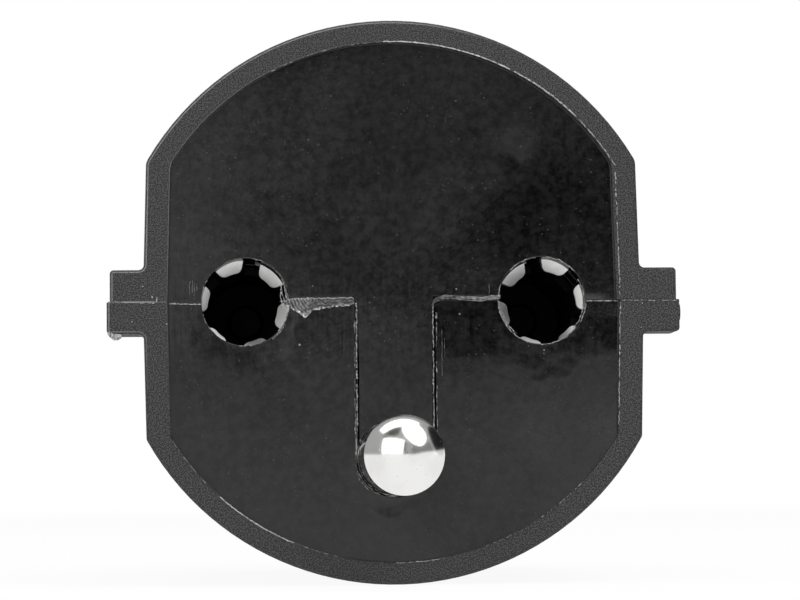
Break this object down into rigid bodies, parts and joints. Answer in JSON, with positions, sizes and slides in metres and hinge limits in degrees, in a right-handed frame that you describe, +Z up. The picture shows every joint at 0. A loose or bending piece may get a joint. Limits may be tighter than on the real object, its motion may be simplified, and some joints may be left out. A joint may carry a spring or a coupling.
{
  "type": "plug adapter",
  "caption": "Earthed travel plug adapter in a clamshell housing: round-pin socket face with male earth pin in front, flat-blade plug with round ground pin behind.",
  "frame": {"origin": "middle of the socket rim's plane, on the parting plane and midway between the two contact holes", "axes": "+X to the right of the socket face, +Y from the socket face into the body and out along the plug's blades, +Z up with the earth pin below"},
  "size_m": [0.0368, 0.0702, 0.036],
  "materials": {
    "housing": "black moulded plastic, spark-grained outside and smooth on the socket face",
    "plated_pin": "bright nickel plate",
    "contact_metal": "bright plated sheet at the crown, tarnished nearly black inside",
    "strap_brass": "plain brass strip",
    "spring_steel": "spring steel",
    "rivet_steel": "blackened steel",
    "screw_steel": "zinc-plated steel"
  },
  "bodies": {
    "root": {"upper_shell": "housing", "lower_shell": "housing", "earth_pin": "plated_pin", "ground_pin": "plated_pin", "left_blade": "plated_pin", "right_blade": "plated_pin", "left_contact": "contact_metal", "right_contact": "contact_metal", "left_spring_ring": "spring_steel", "right_spring_ring": "spring_steel", "left_strap": "strap_brass", "right_strap": "strap_brass", "earth_strap": "strap_brass", "left_contact_rivet": "rivet_steel", "right_contact_rivet": "rivet_steel", "left_blade_rivet": "rivet_steel", "right_blade_rivet": "rivet_steel", "front_screw": "screw_steel", "rear_screw": "screw_steel"}
  },
  "joints": []
}
